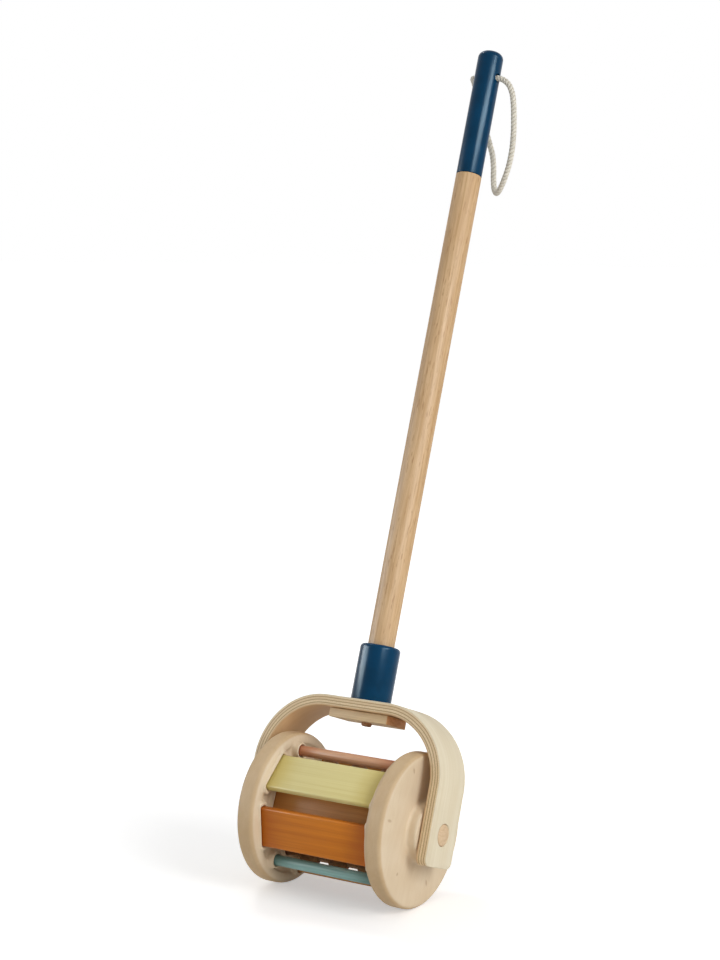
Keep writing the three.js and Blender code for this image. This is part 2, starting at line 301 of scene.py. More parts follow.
def applied(piece, kind, **settings):
    pickUp(piece)
    modifier = piece.modifiers.new(kind.lower(), kind)
    for name, value in settings.items():
        setattr(modifier, name, value)
    bpy.ops.object.modifier_apply(modifier=modifier.name)


def joinShape(piece, tool, operation):
    applied(piece, "BOOLEAN", object=tool, operation=operation, solver="EXACT")
    bpy.data.objects.remove(tool)


def drill(piece, tool):
    joinShape(piece, tool, "DIFFERENCE")


def softenEdges(piece, width, segments=3, angle=50):
    applied(piece, "BEVEL", width=width, segments=segments, limit_method="ANGLE",
            angle_limit=math.radians(angle), harden_normals=False, use_clamp_overlap=True)


def copyOf(piece, name):
    copied = piece.copy()
    copied.data = piece.data.copy()
    copied.name = name
    copied.data.name = name
    bpy.context.scene.collection.objects.link(copied)
    return copied


def outward(piece):
    pickUp(piece)
    bpy.ops.object.mode_set(mode="EDIT")
    bpy.ops.mesh.select_all(action="SELECT")
    bpy.ops.mesh.remove_doubles(threshold=mergeGap)
    bpy.ops.mesh.normals_make_consistent(inside=False)
    endEdit()


def deliver(piece, matrix, node, body, material, smoothTo=40):
    piece.data.transform(matrix)
    outward(piece)
    bpy.ops.object.shade_smooth_by_angle(angle=math.radians(smoothTo))
    piece.data.materials.clear()
    piece.data.materials.append(material)
    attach(piece, body)
    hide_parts(node)


# The grip's sizes stand before the cord, which hangs from its hole
gripSet = dict(length=0.092, edge=0.0045, edgeSteps=10, foot=0.0005, hole=0.0032, holeSides=40,
               holeReach=0.02, holeDrop=0.019, holeBand=0.006)
handleTop = handleLength + gripSet["length"] / 2
gripFoot = handleTop - gripSet["length"]
holeHeight = handleTop - gripSet["holeDrop"]

# Hanging loop of cotton, its route as in the part, from the middle of the cord hole, in metres
cordSet = dict(
    diameter=0.0042, strands=3, lay=0.0082, crease=0.16, sides=30, step=0.00035, pathEvery=8,
    route=[
        (0.0008, 0, 0), (0.0045, 0, 0), (0.009, -0.0001, -0.0002), (0.014, -0.0006, -0.0018),
        (0.0186, -0.0014, -0.0056), (0.0216, -0.0022, -0.0118), (0.0231, -0.003, -0.02),
        (0.0236, -0.0034, -0.029), (0.0237, -0.0037, -0.038), (0.0229, -0.0039, -0.049),
        (0.0206, -0.0038, -0.06), (0.0166, -0.0028, -0.0698), (0.0116, -0.0002, -0.0772),
        (0.0066, 0.004, -0.0802), (0.0024, 0.0082, -0.0774), (0.0002, 0.0108, -0.0702),
        (-0.0003, 0.0116, -0.0616), (-0.0014, 0.0118, -0.053), (-0.004, 0.0118, -0.0444),
        (-0.007, 0.0119, -0.0356), (-0.01, 0.012, -0.0268), (-0.0127, 0.0121, -0.018),
        (-0.0144, 0.0115, -0.0096), (-0.015, 0.0092, -0.003), (-0.0139, 0.0049, 0.0003),
        (-0.0106, 0.0011, 0.0004), (-0.0064, 0, 0), (-0.0008, 0, 0),
    ],
    # crease: a darker colour painted into the creases between the strands as shade
    finish=dict(deep=(214, 208, 192), pale=(243, 238, 226), crease=(176, 164, 138), rough=0.92, gloss=0.2,
                sheen=0.25, sheenRough=0.5, relief=0.0004, reliefShare=0.7),
)


def cottonMaterial():
    finish = cordSet["finish"]
    material, shader, coords = newMaterial("twistedCotton")
    lay = coords.node("ShaderNodeUVMap", {"uv_map": "lay"}, {})
    _, strand, _ = lay.axes()
    crease = abs(2 * (strand - strand.floor()) - 1)  # 1 in the crease between strands
    yarn = lay.streaks((900, 14, 1), 3.0, 0.6)
    fluff = coords.noise(2600, 2.0, 0.6)
    color = (0.6 * yarn + 0.4 * fluff).between(0.3, 0.75).tone(finish)
    # painted shade: the creases between the strands are coloured darker
    color = (crease ** 3).between(0.25, 1.0).mix(color, screen(finish["crease"]))
    height = (1 - crease ** 2) * 0.4 + yarn * 0.5 + fluff * 0.3
    relief = height.bump(finish["relief"], finish["reliefShare"])
    feed(shader, {"Base Color": color, "Normal": relief},
         {"Roughness": finish["rough"], "Specular IOR Level": finish["gloss"],
          "Sheen Weight": finish["sheen"], "Sheen Roughness": finish["sheenRough"]})
    return material


def smoothRoute(points, step):  # an even walk along a smooth line through the points
    line = []
    for i in range(len(points) - 1):
        before = points[max(i - 1, 0)]
        start, end = points[i], points[i + 1]
        after = points[min(i + 2, len(points) - 1)]
        count = max(2, round((end - start).length / step))
        for k in range(count):
            t = k / count
            straight = (end - before) * t
            bent = (2 * before - 5 * start + 4 * end - after) * t ** 2
            twisted = (3 * start - before - 3 * end + after) * t ** 3
            line.append(0.5 * (2 * start + straight + bent + twisted))
    return line + [points[-1]]


def cordRings(line):  # rings of points round the line, lobed by the strands, and how far along each one is
    across = Vector((0, 1, 0))
    walked = 0.0
    points, lays = [], []
    for i, point in enumerate(line):
        ahead = (line[min(i + 1, len(line) - 1)] - line[max(i - 1, 0)]).normalized()
        across = (across - ahead * across.dot(ahead)).normalized()
        beside = ahead.cross(across)
        walked += (point - line[i - 1]).length if i else 0
        lays.append(walked)
        for k in range(cordSet["sides"]):
            angle = 2 * math.pi * k / cordSet["sides"]
            lobe = abs(math.cos(cordSet["strands"] / 2 * (angle - 2 * math.pi * walked / cordSet["lay"])))
            radius = cordSet["diameter"] / 2 * (1 - cordSet["crease"] * (1 - lobe))
            points.append(point + across * math.cos(angle) * radius + beside * math.sin(angle) * radius)
    return points, lays


def makeCord():
    hole = handleToRow @ Vector((0, 0, holeHeight))
    line = smoothRoute([hole + Vector(point) for point in cordSet["route"]], cordSet["step"])
    sides, strands = cordSet["sides"], cordSet["strands"]
    points, lays = cordRings(line)
    walked = lays[-1]
    faces, uvs = [], []
    for i in range(len(line) - 1):
        turns = [lays[i] / cordSet["lay"], lays[i + 1] / cordSet["lay"]]
        ring, after = i * sides, (i + 1) * sides
        for k in range(sides):
            faces.append((ring + k, ring + (k + 1) % sides, after + (k + 1) % sides, after + k))
            corners = [(0, k), (0, k + 1), (1, k + 1), (1, k)]
            uvs.append([(lays[i + e], strands * (c / sides - turns[e]) + 0.5) for e, c in corners])
    faces.append(tuple(range(sides - 1, -1, -1)))
    faces.append(tuple(len(points) - sides + k for k in range(sides)))
    uvs += [[(0, 0.5)] * sides, [(walked, 0.5)] * sides]
    mesh = bpy.data.meshes.new("cottonLoop")
    mesh.from_pydata(points, [], faces)
    layer = mesh.uv_layers.new(name="lay")
    for face, corners in zip(mesh.polygons, uvs):
        for loop, corner in zip(face.loop_indices, corners):
            layer.data[loop].uv = corner
    cord = bpy.data.objects.new("cottonLoop", mesh)
    bpy.context.scene.collection.objects.link(cord)
    mesh.materials.append(cottonMaterial())
    pickUp(cord)
    bpy.ops.object.shade_smooth()
    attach(cord, "frame")
    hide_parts("hang_cord")
    line[::cordSet["pathEvery"]] + [line[-1]]
    print("cord made, length", round(walked, 4))


makeCord()


# Handle: rod, grip and collar, in the handle's own frame, with the axle at the origin and the rod along Z
rodSet = dict(
    radius=0.009, spigotRadius=0.0055, spigotLength=0.03, sides=96, edge=0.0004, edgeSteps=3,
    screwHole=0.0024, screwReach=0.0453,
    finish=dict(deep=(192, 153, 107), pale=(220, 187, 145), pores=(156, 110, 66), flecks=(166, 120, 76),
                rough=0.42, gloss=0.17, relief=0.0001, reliefShare=0.3),
)
collarSet = dict(wall=0.00435, length=0.0378, edge=0.0025, edgeSteps=8, foot=0.0004, footSteps=3)
forkSet = dict(width=0.144, rise=0.0772, band=0.0344, thickness=0.0076, bend=0.048, bendSteps=28, drop=0.021,
               corner=0.005, cornerSteps=8, arris=0.0005, axleHole=0.0073, axleSides=64, axleReach=0.1,
               screwHole=0.0024, screwSides=32, screwFrom=0.05, screwTo=0.1)
lacquerSet = dict(deep=(0, 50, 80), pale=(0, 58, 92), rough=0.21, skinRough=0.06, endRough=0.5, gloss=0.12,
                  tint=(0.7, 0.93, 1.0, 1.0), relief=0.0001, reliefShare=0.25)

rodFoot = forkSet["rise"] + fits["glueGap"]


def rodMaterial():
    finish = rodSet["finish"]
    material, shader, coords = newMaterial("rodBeech")
    grain = coords.turnedBack(axleAt, -lean)
    fibres = grain.streaks((1500, 1500, 18), 4.0, 0.6)
    bands = grain.streaks((130, 130, 3), 2.0, 0.5, 0.4)
    lines = grain.streaks((700, 700, 26), 3.0, 0.6)
    pores = grain.streaks((2600, 2600, 60), 2.0, 0.5).between(0.62, 0.72)
    flecks = grain.streaks((850, 850, 110), 2.0, 0.5).between(0.59, 0.7)
    color = (0.2 * fibres + 0.3 * bands + 0.5 * lines).between(0.36, 0.66).tone(finish)
    color = (pores * 0.4).mix(color, screen(finish["pores"]))
    color = (flecks * 0.55).mix(color, screen(finish["flecks"]))
    dress(shader, finish, color, fibres * 0.1, fibres - pores)
    return material


def lacquerMaterial():
    material, shader, coords = newMaterial("blueLacquer")
    grain = coords.turnedBack(axleAt, -lean)
    fibres = grain.streaks((900, 900, 12), 3.0, 0.6)
    skin = coords.noise(420, 2.0, 0.5)
    color = coords.noise(60, 3.0, 0.55).between(0.3, 0.7).tone(lacquerSet)
    _, side, up = coords.facing()
    endGrain = (side * math.sin(lean) + up * math.cos(lean)).between(0.5, 0.9)  # the top dries duller
    rough = skin * lacquerSet["skinRough"] + endGrain * lacquerSet["endRough"]
    dress(shader, lacquerSet, color, rough, fibres * 0.5 + skin * 0.5)
    shader.inputs["Specular Tint"].default_value = lacquerSet["tint"]
    return material


def makeRod():
    radius, shoulder = rodSet["radius"], gripFoot - fits["glueGap"]
    rod = addRound("turnedRod", radius, rodFoot, shoulder, rodSet["sides"])
    pickFaces(rod, facesUp)
    bpy.ops.mesh.inset(thickness=radius - rodSet["spigotRadius"])
    push((0, 0, rodSet["spigotLength"]))
    endEdit()
    pickFaces(rod, facesDown)
    bpy.ops.mesh.inset(thickness=radius - rodSet["screwHole"])
    push((0, 0, rodSet["screwReach"]))
    endEdit()

    def atShoulder(point):
        return abs(point.z - shoulder) < onFace and point.xy.length > radius - onFace

    roundEdges(rod, atShoulder, rodSet["edge"], rodSet["edgeSteps"])
    deliver(rod, handleToRow, "handle_rod", "frame", rodMaterial())


def makeGrip(lacquer):
    radius = rodSet["radius"]
    grip = addRound("lacqueredGrip", radius, gripFoot, handleTop, rodSet["sides"])
    roundEdges(grip, lambda point: point.z > handleTop - onFace, gripSet["edge"], gripSet["edgeSteps"])
    startEdit(grip, "FACE")
    bpy.ops.object.mode_set(mode="EDIT")
    for side in (-1, 1):  # a ring of edges above and below the cord hole keeps the lacquer's sheen even
        bpy.ops.mesh.select_all(action="SELECT")
        bpy.ops.mesh.bisect(plane_co=(0, 0, holeHeight + side * gripSet["holeBand"]), plane_no=(0, 0, 1))
    endEdit()
    pickFaces(grip, facesDown)
    bpy.ops.mesh.inset(thickness=radius - rodSet["spigotRadius"] - fits["glueGap"])
    push((0, 0, rodSet["spigotLength"]))
    endEdit()
    reach = gripSet["holeReach"]
    hole = addRound("cordHole", gripSet["hole"], -reach, reach, gripSet["holeSides"], across=True)
    hole.data.transform(Matrix.Translation((0, 0, holeHeight)))
    drill(grip, hole)
    softenEdges(grip, gripSet["foot"])
    deliver(grip, handleToRow, "grip", "frame", lacquer)


def makeCollar(lacquer):
    bore = rodSet["radius"] + fits["glueGap"]
    top = rodFoot + collarSet["length"]
    collar = addRound("lacqueredCollar", bore + collarSet["wall"], rodFoot, top, rodSet["sides"])
    roundEdges(collar, lambda point: point.z > top - onFace, collarSet["edge"], collarSet["edgeSteps"])
    roundEdges(collar, lambda point: point.z < rodFoot + onFace, collarSet["foot"], collarSet["footSteps"])
    past = fits["drillPast"]
    drill(collar, addRound("collarBore", bore, rodFoot - past, top + past, rodSet["sides"]))
    softenEdges(collar, **fineEdge)
    deliver(collar, handleToRow, "collar", "frame", lacquer)


blueLacquer = lacquerMaterial()
makeRod()
makeGrip(blueLacquer)
makeCollar(blueLacquer)
print("handle, grip and collar made")


# Bent plywood fork, in the handle's frame
plySet = dict(
    veneers=4, glueLine=0.00042, lineSoft=0.0003, wander=0.0005, skinFrom=0.0004, skinTo=0.0011,
    face=dict(deep=(224, 210, 180), pale=(234, 223, 198)), flecks=(214, 192, 152),
    # under: a warmer, darker tone painted on the fork's inner faces as shade
    under=dict(deep=(206, 168, 122), pale=(222, 188, 146)),
    edge=dict(deep=(219, 194, 152), pale=(239, 218, 180)), crossPly=(202, 172, 128), glue=(160, 122, 78),
    rough=0.5, gloss=0.16, relief=0.00012, reliefShare=0.4,
)

# Where the bends start, on the right arm
bendX = forkSet["width"] / 2 - forkSet["bend"]
bendZ = forkSet["rise"] - forkSet["bend"]


def plyMaterial():
    material, shader, coords = newMaterial("bentBirchPly")
    local = coords.turnedBack(axleAt, -lean)
    x, _, z = local.axes()
    outX = (abs(x) - bendX).atLeast(0.0)
    outZ = (z - bendZ).atLeast(0.0)
    thickness = forkSet["thickness"]
    depth = forkSet["bend"] - (outX * outX + outZ * outZ) ** 0.5  # how far below the band's outer face

    pitch = thickness / plySet["veneers"]
    wave = local.streaks((60, 60, 60), 2.0) - 0.5
    layer = (depth + wave * plySet["wander"]) / pitch
    whole = layer.floor()
    nearLine = abs(layer - whole - 0.5) * pitch  # largest beside a glue line
    inside = depth.between(pitch * 0.5, pitch * 0.7) * (1 - depth.between(pitch * 3.3, pitch * 3.5))
    lineFrom = pitch / 2 - plySet["glueLine"]
    line = nearLine.between(lineFrom, lineFrom + plySet["lineSoft"]) * inside
    pairs = (whole * 0.5).floor()
    crossPly = abs(whole - 2 * pairs)  # 1 in every second veneer

    band = coords.node("ShaderNodeUVMap", {"uv_map": "band"}, {})
    fibres = band.streaks((7, 420, 1), 4.0, 0.6)
    broad = band.streaks((9, 60, 1), 3.0, 0.55, 0.6)
    flecks = band.streaks((90, 900, 1), 2.0, 0.5).between(0.64, 0.74)
    face = (0.4 * fibres + 0.6 * broad).between(0.34, 0.68).tone(plySet["face"])
    face = (flecks * 0.2).mix(face, screen(plySet["flecks"]))
    under = depth.between(thickness * 0.5, thickness * 0.9)
    face = under.mix(face, fibres.tone(plySet["under"]))  # painted shade: the fork's inner faces get a warmer, darker tone

    ends = local.streaks((1500, 300, 1500), 3.0, 0.65)
    edge = ends.between(0.3, 0.7).tone(plySet["edge"])
    edge = (crossPly * 0.3).mix(edge, screen(plySet["crossPly"]))
    edge = (line * 0.75).mix(edge, screen(plySet["glue"]))
    belowOuter = depth.between(plySet["skinFrom"], plySet["skinTo"])
    belowInner = depth.between(thickness - plySet["skinTo"], thickness - plySet["skinFrom"])
    onEdge = belowOuter * (1 - belowInner)
    height = fibres * 0.4 + ends * 0.3 - line * 0.8 * onEdge
    dress(shader, plySet, onEdge.mix(face, edge), fibres * 0.12, height)
    return material


def alongBand(point):  # distance along the band from the middle of its top
    middle = forkSet["bend"] - forkSet["thickness"] / 2
    x = abs(point.x)
    if x <= bendX:
        far = x
    elif point.z >= bendZ:
        far = bendX + middle * math.atan2(x - bendX, point.z - bendZ)
    else:
        far = bendX + middle * math.pi / 2 + bendZ - point.z
    return math.copysign(far, point.x)


def makeFork():
    half, bandHalf, foot = forkSet["width"] / 2, forkSet["band"] / 2, -forkSet["drop"]
    fork = addBlock("bentFork", (half - forkSet["thickness"], -bandHalf, foot), (half, bandHalf, bendZ))
    for side in (-1, 1):  # rounded corners of the right arm
        roundEdges(fork, lambda point: point.z < foot + onFace and point.y * side > bandHalf - onFace,
                   forkSet["corner"], forkSet["cornerSteps"])
    pickFaces(fork, facesUp)
    bpy.ops.mesh.spin(steps=forkSet["bendSteps"], angle=math.pi / 2, center=(bendX, 0, bendZ), axis=(0, 1, 0))
    endEdit()
    pickFaces(fork, lambda middle, normal: normal.x < -0.99 and abs(middle.x - bendX) < onFace)
    bpy.ops.mesh.delete(type="FACE")
    endEdit()
    pickEdges(fork, bothEnds(lambda point: abs(point.x - bendX) < onFace and point.z > bendZ))
    push((-bendX, 0, 0))
    endEdit()
    applied(fork, "MIRROR", use_axis=(True, False, False), merge_threshold=onFace)
    outward(fork)
    reach, low, high = forkSet["axleReach"], forkSet["screwFrom"], forkSet["screwTo"]
    drill(fork, addRound("axleHole", forkSet["axleHole"], -reach, reach, forkSet["axleSides"], across=True))
    drill(fork, addRound("screwHole", forkSet["screwHole"], low, high, forkSet["screwSides"]))
    softenEdges(fork, forkSet["arris"])
    layer = fork.data.uv_layers.new(name="band")
    for loop in fork.data.loops:
        point = fork.data.vertices[loop.vertex_index].co
        layer.data[loop.index].uv = (alongBand(point), point.y)
    deliver(fork, handleToRow, "fork", "frame", plyMaterial())


makeFork()
print("fork made")


# Block under the fork, its plug, the screw that it hides, and the axle
blockSet = dict(
    length=0.045, depth=0.026, height=0.006, arris=0.0005, bore=0.0038, boreFloor=0.0018, boreSides=40,
    borePast=0.005,
    finish=dict(face=dict(deep=(222, 193, 148), pale=(244, 222, 182)),
                ends=dict(deep=(206, 150, 102), pale=(232, 178, 128)),
                rough=0.55, gloss=0.25, relief=0.00015, reliefShare=0.4),
)
plugSet = dict(
    radius=0.0035, proud=0.0024, dome=0.0012, domeSteps=6, sides=48, screwHead=0.0023,
    finish=dict(deep=(150, 104, 68), pale=(192, 142, 102), rings=700, rough=0.55, gloss=0.3,
                relief=0.0001, reliefShare=0.3),
)
axleSet = dict(
    radius=0.007, edge=0.0006, edgeSteps=3, sides=64,
    finish=dict(deep=(206, 175, 138), pale=(224, 196, 160), rings=420, rough=0.55, gloss=0.3,
                relief=0.0001, reliefShare=0.3),
)
screwSet = dict(deep=(170, 172, 176), pale=(208, 210, 212), rough=0.3)

blockTop = forkSet["rise"] - forkSet["thickness"] - fits["glueGap"]
blockFoot = blockTop - blockSet["height"]
boreTop = blockTop - blockSet["boreFloor"]


def blockMaterial():
    finish = blockSet["finish"]
    material, shader, coords = newMaterial("blockPine")
    local = coords.turnedBack(axleAt, -lean)
    lengthwise = local.streaks((14, 900, 900), 4.0, 0.6)
    broad = local.streaks((8, 160, 160), 3.0, 0.55, 0.5)
    face = (0.5 * lengthwise + 0.5 * broad).between(0.35, 0.68).tone(finish["face"])
    rings = local.streaks((60, 160, 420), 3.0, 0.55, 0.4)
    pores = local.noise(2200, 2.0, 0.6)
    ends = (0.6 * rings + 0.4 * pores).between(0.35, 0.65).tone(finish["ends"])
    sideways = abs(coords.facing()[0])
    color = sideways.between(0.6, 0.9).mix(face, ends)
    dress(shader, finish, color, lengthwise * 0.15, lengthwise)
    return material


def endGrainMaterial(name, finish):
    material, shader, coords = newMaterial(name)
    local = coords.turnedBack(axleAt, -lean)
    pores = coords.noise(2400, 2.0, 0.6)
    rings = local.streaks((finish["rings"], finish["rings"] * 0.35, finish["rings"]), 3.0, 0.55, 1.2)
    color = (0.55 * rings + 0.45 * pores).between(0.34, 0.68).tone(finish)
    dress(shader, finish, color, pores * 0.2, pores)
    return material


def steelMaterial():
    material, shader, coords = newMaterial("screwSteel")
    scratches = coords.streaks((900, 900, 60), 3.0)
    rough = screwSet["rough"] + scratches * 0.2
    feed(shader, {"Base Color": scratches.tone(screwSet), "Roughness": rough}, {"Metallic": 1.0})
    return material


def makeBlock():
    low = (-blockSet["length"] / 2, -blockSet["depth"] / 2, blockFoot)
    high = (blockSet["length"] / 2, blockSet["depth"] / 2, blockTop)
    block = addBlock("underBlock", low, high)
    past = blockSet["borePast"]
    drill(block, addRound("plugBore", blockSet["bore"], blockFoot - past, boreTop, blockSet["boreSides"]))
    shank = addRound("shankBore", rodSet["screwHole"], blockFoot, blockTop + past, forkSet["screwSides"])
    drill(block, shank)
    softenEdges(block, blockSet["arris"])
    deliver(block, handleToRow, "spacer_block", "frame", blockMaterial())


def makePlug():
    foot = blockFoot - plugSet["proud"]
    top = boreTop - plugSet["screwHead"] - 2 * fits["glueGap"]
    plug = addRound("screwPlug", plugSet["radius"], foot, top, plugSet["sides"])
    roundEdges(plug, lambda point: point.z < foot + onFace, plugSet["dome"], plugSet["domeSteps"])
    finish = endGrainMaterial("plugWood", plugSet["finish"])
    deliver(plug, handleToRow, "screw_plug", "frame", finish)


def makeAxle():
    end = forkSet["width"] / 2
    axle = addRound("axleDowel", axleSet["radius"], -end, end, axleSet["sides"], across=True)
    roundEdges(axle, lambda point: abs(point.x) > end - onFace, axleSet["edge"], axleSet["edgeSteps"])
    finish = endGrainMaterial("axleBirch", axleSet["finish"])
    deliver(axle, handleToRow, "axle", "frame", finish)


makeBlock()
makePlug()
makeAxle()
frame["nodes"]["handle_screw"].data.materials.clear()
frame["nodes"]["handle_screw"].data.materials.append(steelMaterial())
print("block, plug and axle made")


# Roller: bars, discs and beads, in the roller's own frame, with the front at -Y
rollerSet = dict(
    discRadius=0.0505, inner=0.0415, outer=0.0559, sides=160,
    outerEdge=0.0032, outerSteps=12, innerEdge=0.0045, innerSteps=8,
    bossRadius=0.02, bossHeight=0.0075, bossFillet=0.002, filletSteps=5, bossSlack=0.0003,
    bore=0.0074, boreSides=64, dishDepth=0.0018, dishRadius=0.0436, dishSlope=0.002, dishSides=96,
    socketHeight=0.0012, dowelSocketHeight=0.0042, socketWall=0.002, seatDepth=0.0062,
    lipHeight=0.0018, lipWall=0.0017, lipSide=0.0032,
    voxel=0.00058, softShare=0.5, softPasses=4, socketPasses=12, socketReach=0.003,
)
barSet = dict(slatWidth=0.0265, slatThickness=0.005, slatArris=0.0012, arrisSteps=5, outerFace=0.0427,
              innerFace=0.0295, slatSpread=26.3, dowelRadius=0.0035, dowelSides=48, dowelRing=0.0398,
              dowelSpread=67.6, beadBarRing=0.0277)

socketFace = rollerSet["inner"] - rollerSet["socketHeight"]
barHalf = socketFace + rollerSet["seatDepth"]
slatTurn, dowelTurn = barSet["slatSpread"], barSet["dowelSpread"]

# Each bar by its turn from the front, counted upwards
bars = [
    dict(name="yellowSlat", node="slat_yellow", turn=slatTurn, kind="outer", stain="yellow"),
    dict(name="orangeSlat", node="slat_orange", turn=-slatTurn, kind="outer", stain="orange"),
    dict(name="innerFrontSlat", node="slat_inner_front", turn=0, kind="inner", stain="natural"),
    dict(name="backUpperSlat", node="slat_back_upper", turn=180 - slatTurn, kind="outer", stain="natural"),
    dict(name="backLowerSlat", node="slat_back_lower", turn=180 + slatTurn, kind="outer", stain="natural"),
    dict(name="innerBackSlat", node="slat_inner_back", turn=180, kind="inner", stain="natural"),
    dict(name="terracottaDowel", node="dowel_terracotta", turn=dowelTurn, kind="dowel", stain="terracotta"),
    dict(name="tealDowel", node="dowel_teal", turn=-dowelTurn, kind="dowel", stain="teal"),
    dict(name="backUpperDowel", node="dowel_back_upper", turn=180 - dowelTurn, kind="dowel", stain="natural"),
    dict(name="backLowerDowel", node="dowel_back_lower", turn=180 + dowelTurn, kind="dowel", stain="natural"),
    dict(name="lowerBeadBar", node="bead_bar_lower", turn=-90, kind="beadBar", stain="shadeBrown"),
    dict(name="upperBeadBar", node="bead_bar_upper", turn=90, kind="beadBar", stain="shadeBrown"),
]

# Stains: the pale and the deep tone of the grain, and a darker tone at the ends, painted shade where the bars meet
# the discs
stains = dict(
    yellow=dict(slot="yellow_stain", pale=(231, 219, 153), deep=(221, 207, 138), ends=(213, 191, 104),
                grain=0.25, gloss=0.35),
    orange=dict(slot="orange_stain", pale=(217, 130, 30), deep=(199, 111, 20), ends=(180, 94, 26),
                grain=0.7, gloss=0.2),
    terracotta=dict(slot="terracotta_stain", pale=(228, 178, 140), deep=(210, 154, 117), ends=(194, 114, 74),
                    grain=0.4, gloss=0.3),
    teal=dict(slot="teal_stain", pale=(156, 198, 192), deep=(128, 174, 169), ends=(88, 118, 108),
              grain=0.35, gloss=0.3),
    natural=dict(slot="natural_wood", pale=(232, 172, 102), deep=(206, 143, 77), ends=(190, 128, 66),
                 grain=0.8, gloss=0.1),
    # shadeBrown: dark brown on the bead bars, painted shade so they read as shadow between the pieces
    shadeBrown=dict(slot="natural_wood", pale=(148, 108, 68), deep=(112, 77, 46), ends=(100, 68, 42),
               grain=0.8, gloss=0.1),
)
stainSet = dict(rough=0.3, relief=0.00014, reliefShare=0.4, poreShade=0.72, endShare=0.8, endFrom=0.021,
                endPast=0.004, endWander=0.006)


def stainMaterial(name):
    finish = {**stainSet, **stains[name]}
    material, shader, coords = newMaterial(name + "Stain")
    x, _, _ = coords.axes()
    fibres = coords.streaks((16, 1300, 1300), 4.0, 0.62)
    bands = coords.streaks((5, 260, 260), 3.0, 0.55, 0.5)
    pores = coords.streaks((50, 2600, 2600), 2.0, 0.5).between(0.62, 0.74)
    poreColor = [value * finish["poreShade"] for value in finish["deep"]]
    color = (0.5 * fibres + 0.5 * bands).between(0.34, 0.68).tone(finish)
    color = (pores * 0.3 * finish["grain"]).mix(color, screen(poreColor))
    wander = coords.noise(90, 2.0) * finish["endWander"]
    # painted shade: each bar darkens towards its ends beside the discs
    endShade = (abs(x) + wander).between(finish["endFrom"], socketFace + finish["endPast"])
    color = (endShade * finish["endShare"]).mix(color, screen(finish["ends"]))
    dress(shader, finish, color, fibres * 0.16, fibres * finish["grain"] - pores * 0.6)
    return material


def barShape(bar, margin, low, high, name, sideMargin=None):  # a bar, or the larger shape of its socket
    kind = bar["kind"]
    if kind in ("outer", "inner"):
        face = barSet[kind + "Face"]
        across = barSet["slatWidth"] / 2 + (margin if sideMargin is None else sideMargin)
        back = barSet["slatThickness"] - face + margin
        shape = addBlock(name, (low, -face - margin, -across), (high, back, across))
        pickEdges(shape, lambda first, second: abs(first.x - second.x) > (high - low) * 0.9)
        roundPicked(barSet["slatArris"] + margin, barSet["arrisSteps"])
    else:
        ring = barSet["dowelRing"] if kind == "dowel" else barSet["beadBarRing"]
        shape = addRound(name, barSet["dowelRadius"] + margin, low, high, barSet["dowelSides"], across=True)
        shape.data.transform(Matrix.Translation((0, -ring, 0)))
    shape.data.transform(Matrix.Rotation(-math.radians(bar["turn"]), 4, "X"))
    return shape


def makeBars():
    finishes = {name: stainMaterial(name) for name in stains}
    for bar in bars:
        piece = barShape(bar, 0.0, -barHalf, barHalf, bar["name"])
        softenEdges(piece, **fineEdge)
        stain = bar["stain"]
        deliver(piece, rollerToRow, bar["node"], "roller", finishes[stain])


makeBars()
print("bars made")


# Moulded discs; the small pressed marks on their outer faces have a radius, a turn from the front and a reach
discSet = dict(
    face=dict(deep=(219, 197, 165), pale=(227, 208, 179)), faceFrom=0.002, faceTo=0.001,
    # rim: a darker, warmer tone painted on the rim as shade
    rim=dict(deep=(204, 174, 133), pale=(213, 186, 147)), rimFrom=0.002, rimTo=0.0007,
    specks=(190, 158, 120), rough=0.56, gloss=0.25, relief=0.0002, reliefShare=0.4,
    markColor=(172, 136, 98), markWidth=0.0011,
    marks=[
        dict(radius=0.0436, turn=-0.5, reach=0.0028), dict(radius=0.0367, turn=-56.8, reach=0.0014),
        dict(radius=0.0365, turn=-122.7, reach=0.0024), dict(radius=0.0435, turn=52.8, reach=0.0022),
    ],
)


def discMaterial():
    material, shader, coords = newMaterial("mouldedDisc")
    local = coords.turnedBack(axleAt, -rollerTilt)
    x, y, z = local.axes()
    radius, outer = rollerSet["discRadius"], rollerSet["outer"]
    fibres = local.streaks((420, 420, 70), 4.0, 0.65, 0.3)
    specks = local.noise(1500, 3.0, 0.65)
    clouds = local.noise(38, 2.0, 0.5)
    grain = (0.3 * fibres + 0.2 * specks + 0.5 * clouds).between(0.36, 0.66)
    reach = (y * y + z * z) ** 0.5
    rimShade = reach.between(radius - discSet["rimFrom"], radius - discSet["rimTo"])
    color = rimShade.mix(grain.tone(discSet["face"]), grain.tone(discSet["rim"]))  # painted shade: the rim is coloured darker and warmer than the faces
    color = (specks.between(0.62, 0.76) * 0.22).mix(color, screen(discSet["specks"]))
    spots = []
    for mark in discSet["marks"]:
        turn = math.radians(mark["turn"])
        along = (z * math.sin(turn) - y * math.cos(turn) - mark["radius"]) / mark["reach"]
        beside = (z * math.cos(turn) + y * math.sin(turn)) / discSet["markWidth"]
        spots.append(1 - ((along * along + beside * beside) ** 0.5).between(0.35, 1.3))
    onFaces = abs(x).between(outer - discSet["faceFrom"], outer - discSet["faceTo"])
    marks = sum(spots[1:], spots[0]) * onFaces
    color = (marks * 0.5).mix(color, screen(discSet["markColor"]))
    height = fibres * 0.3 + specks * 0.25 + clouds * 0.3 - marks * 1.2
    dress(shader, discSet, color, specks * 0.16, height)
    return material


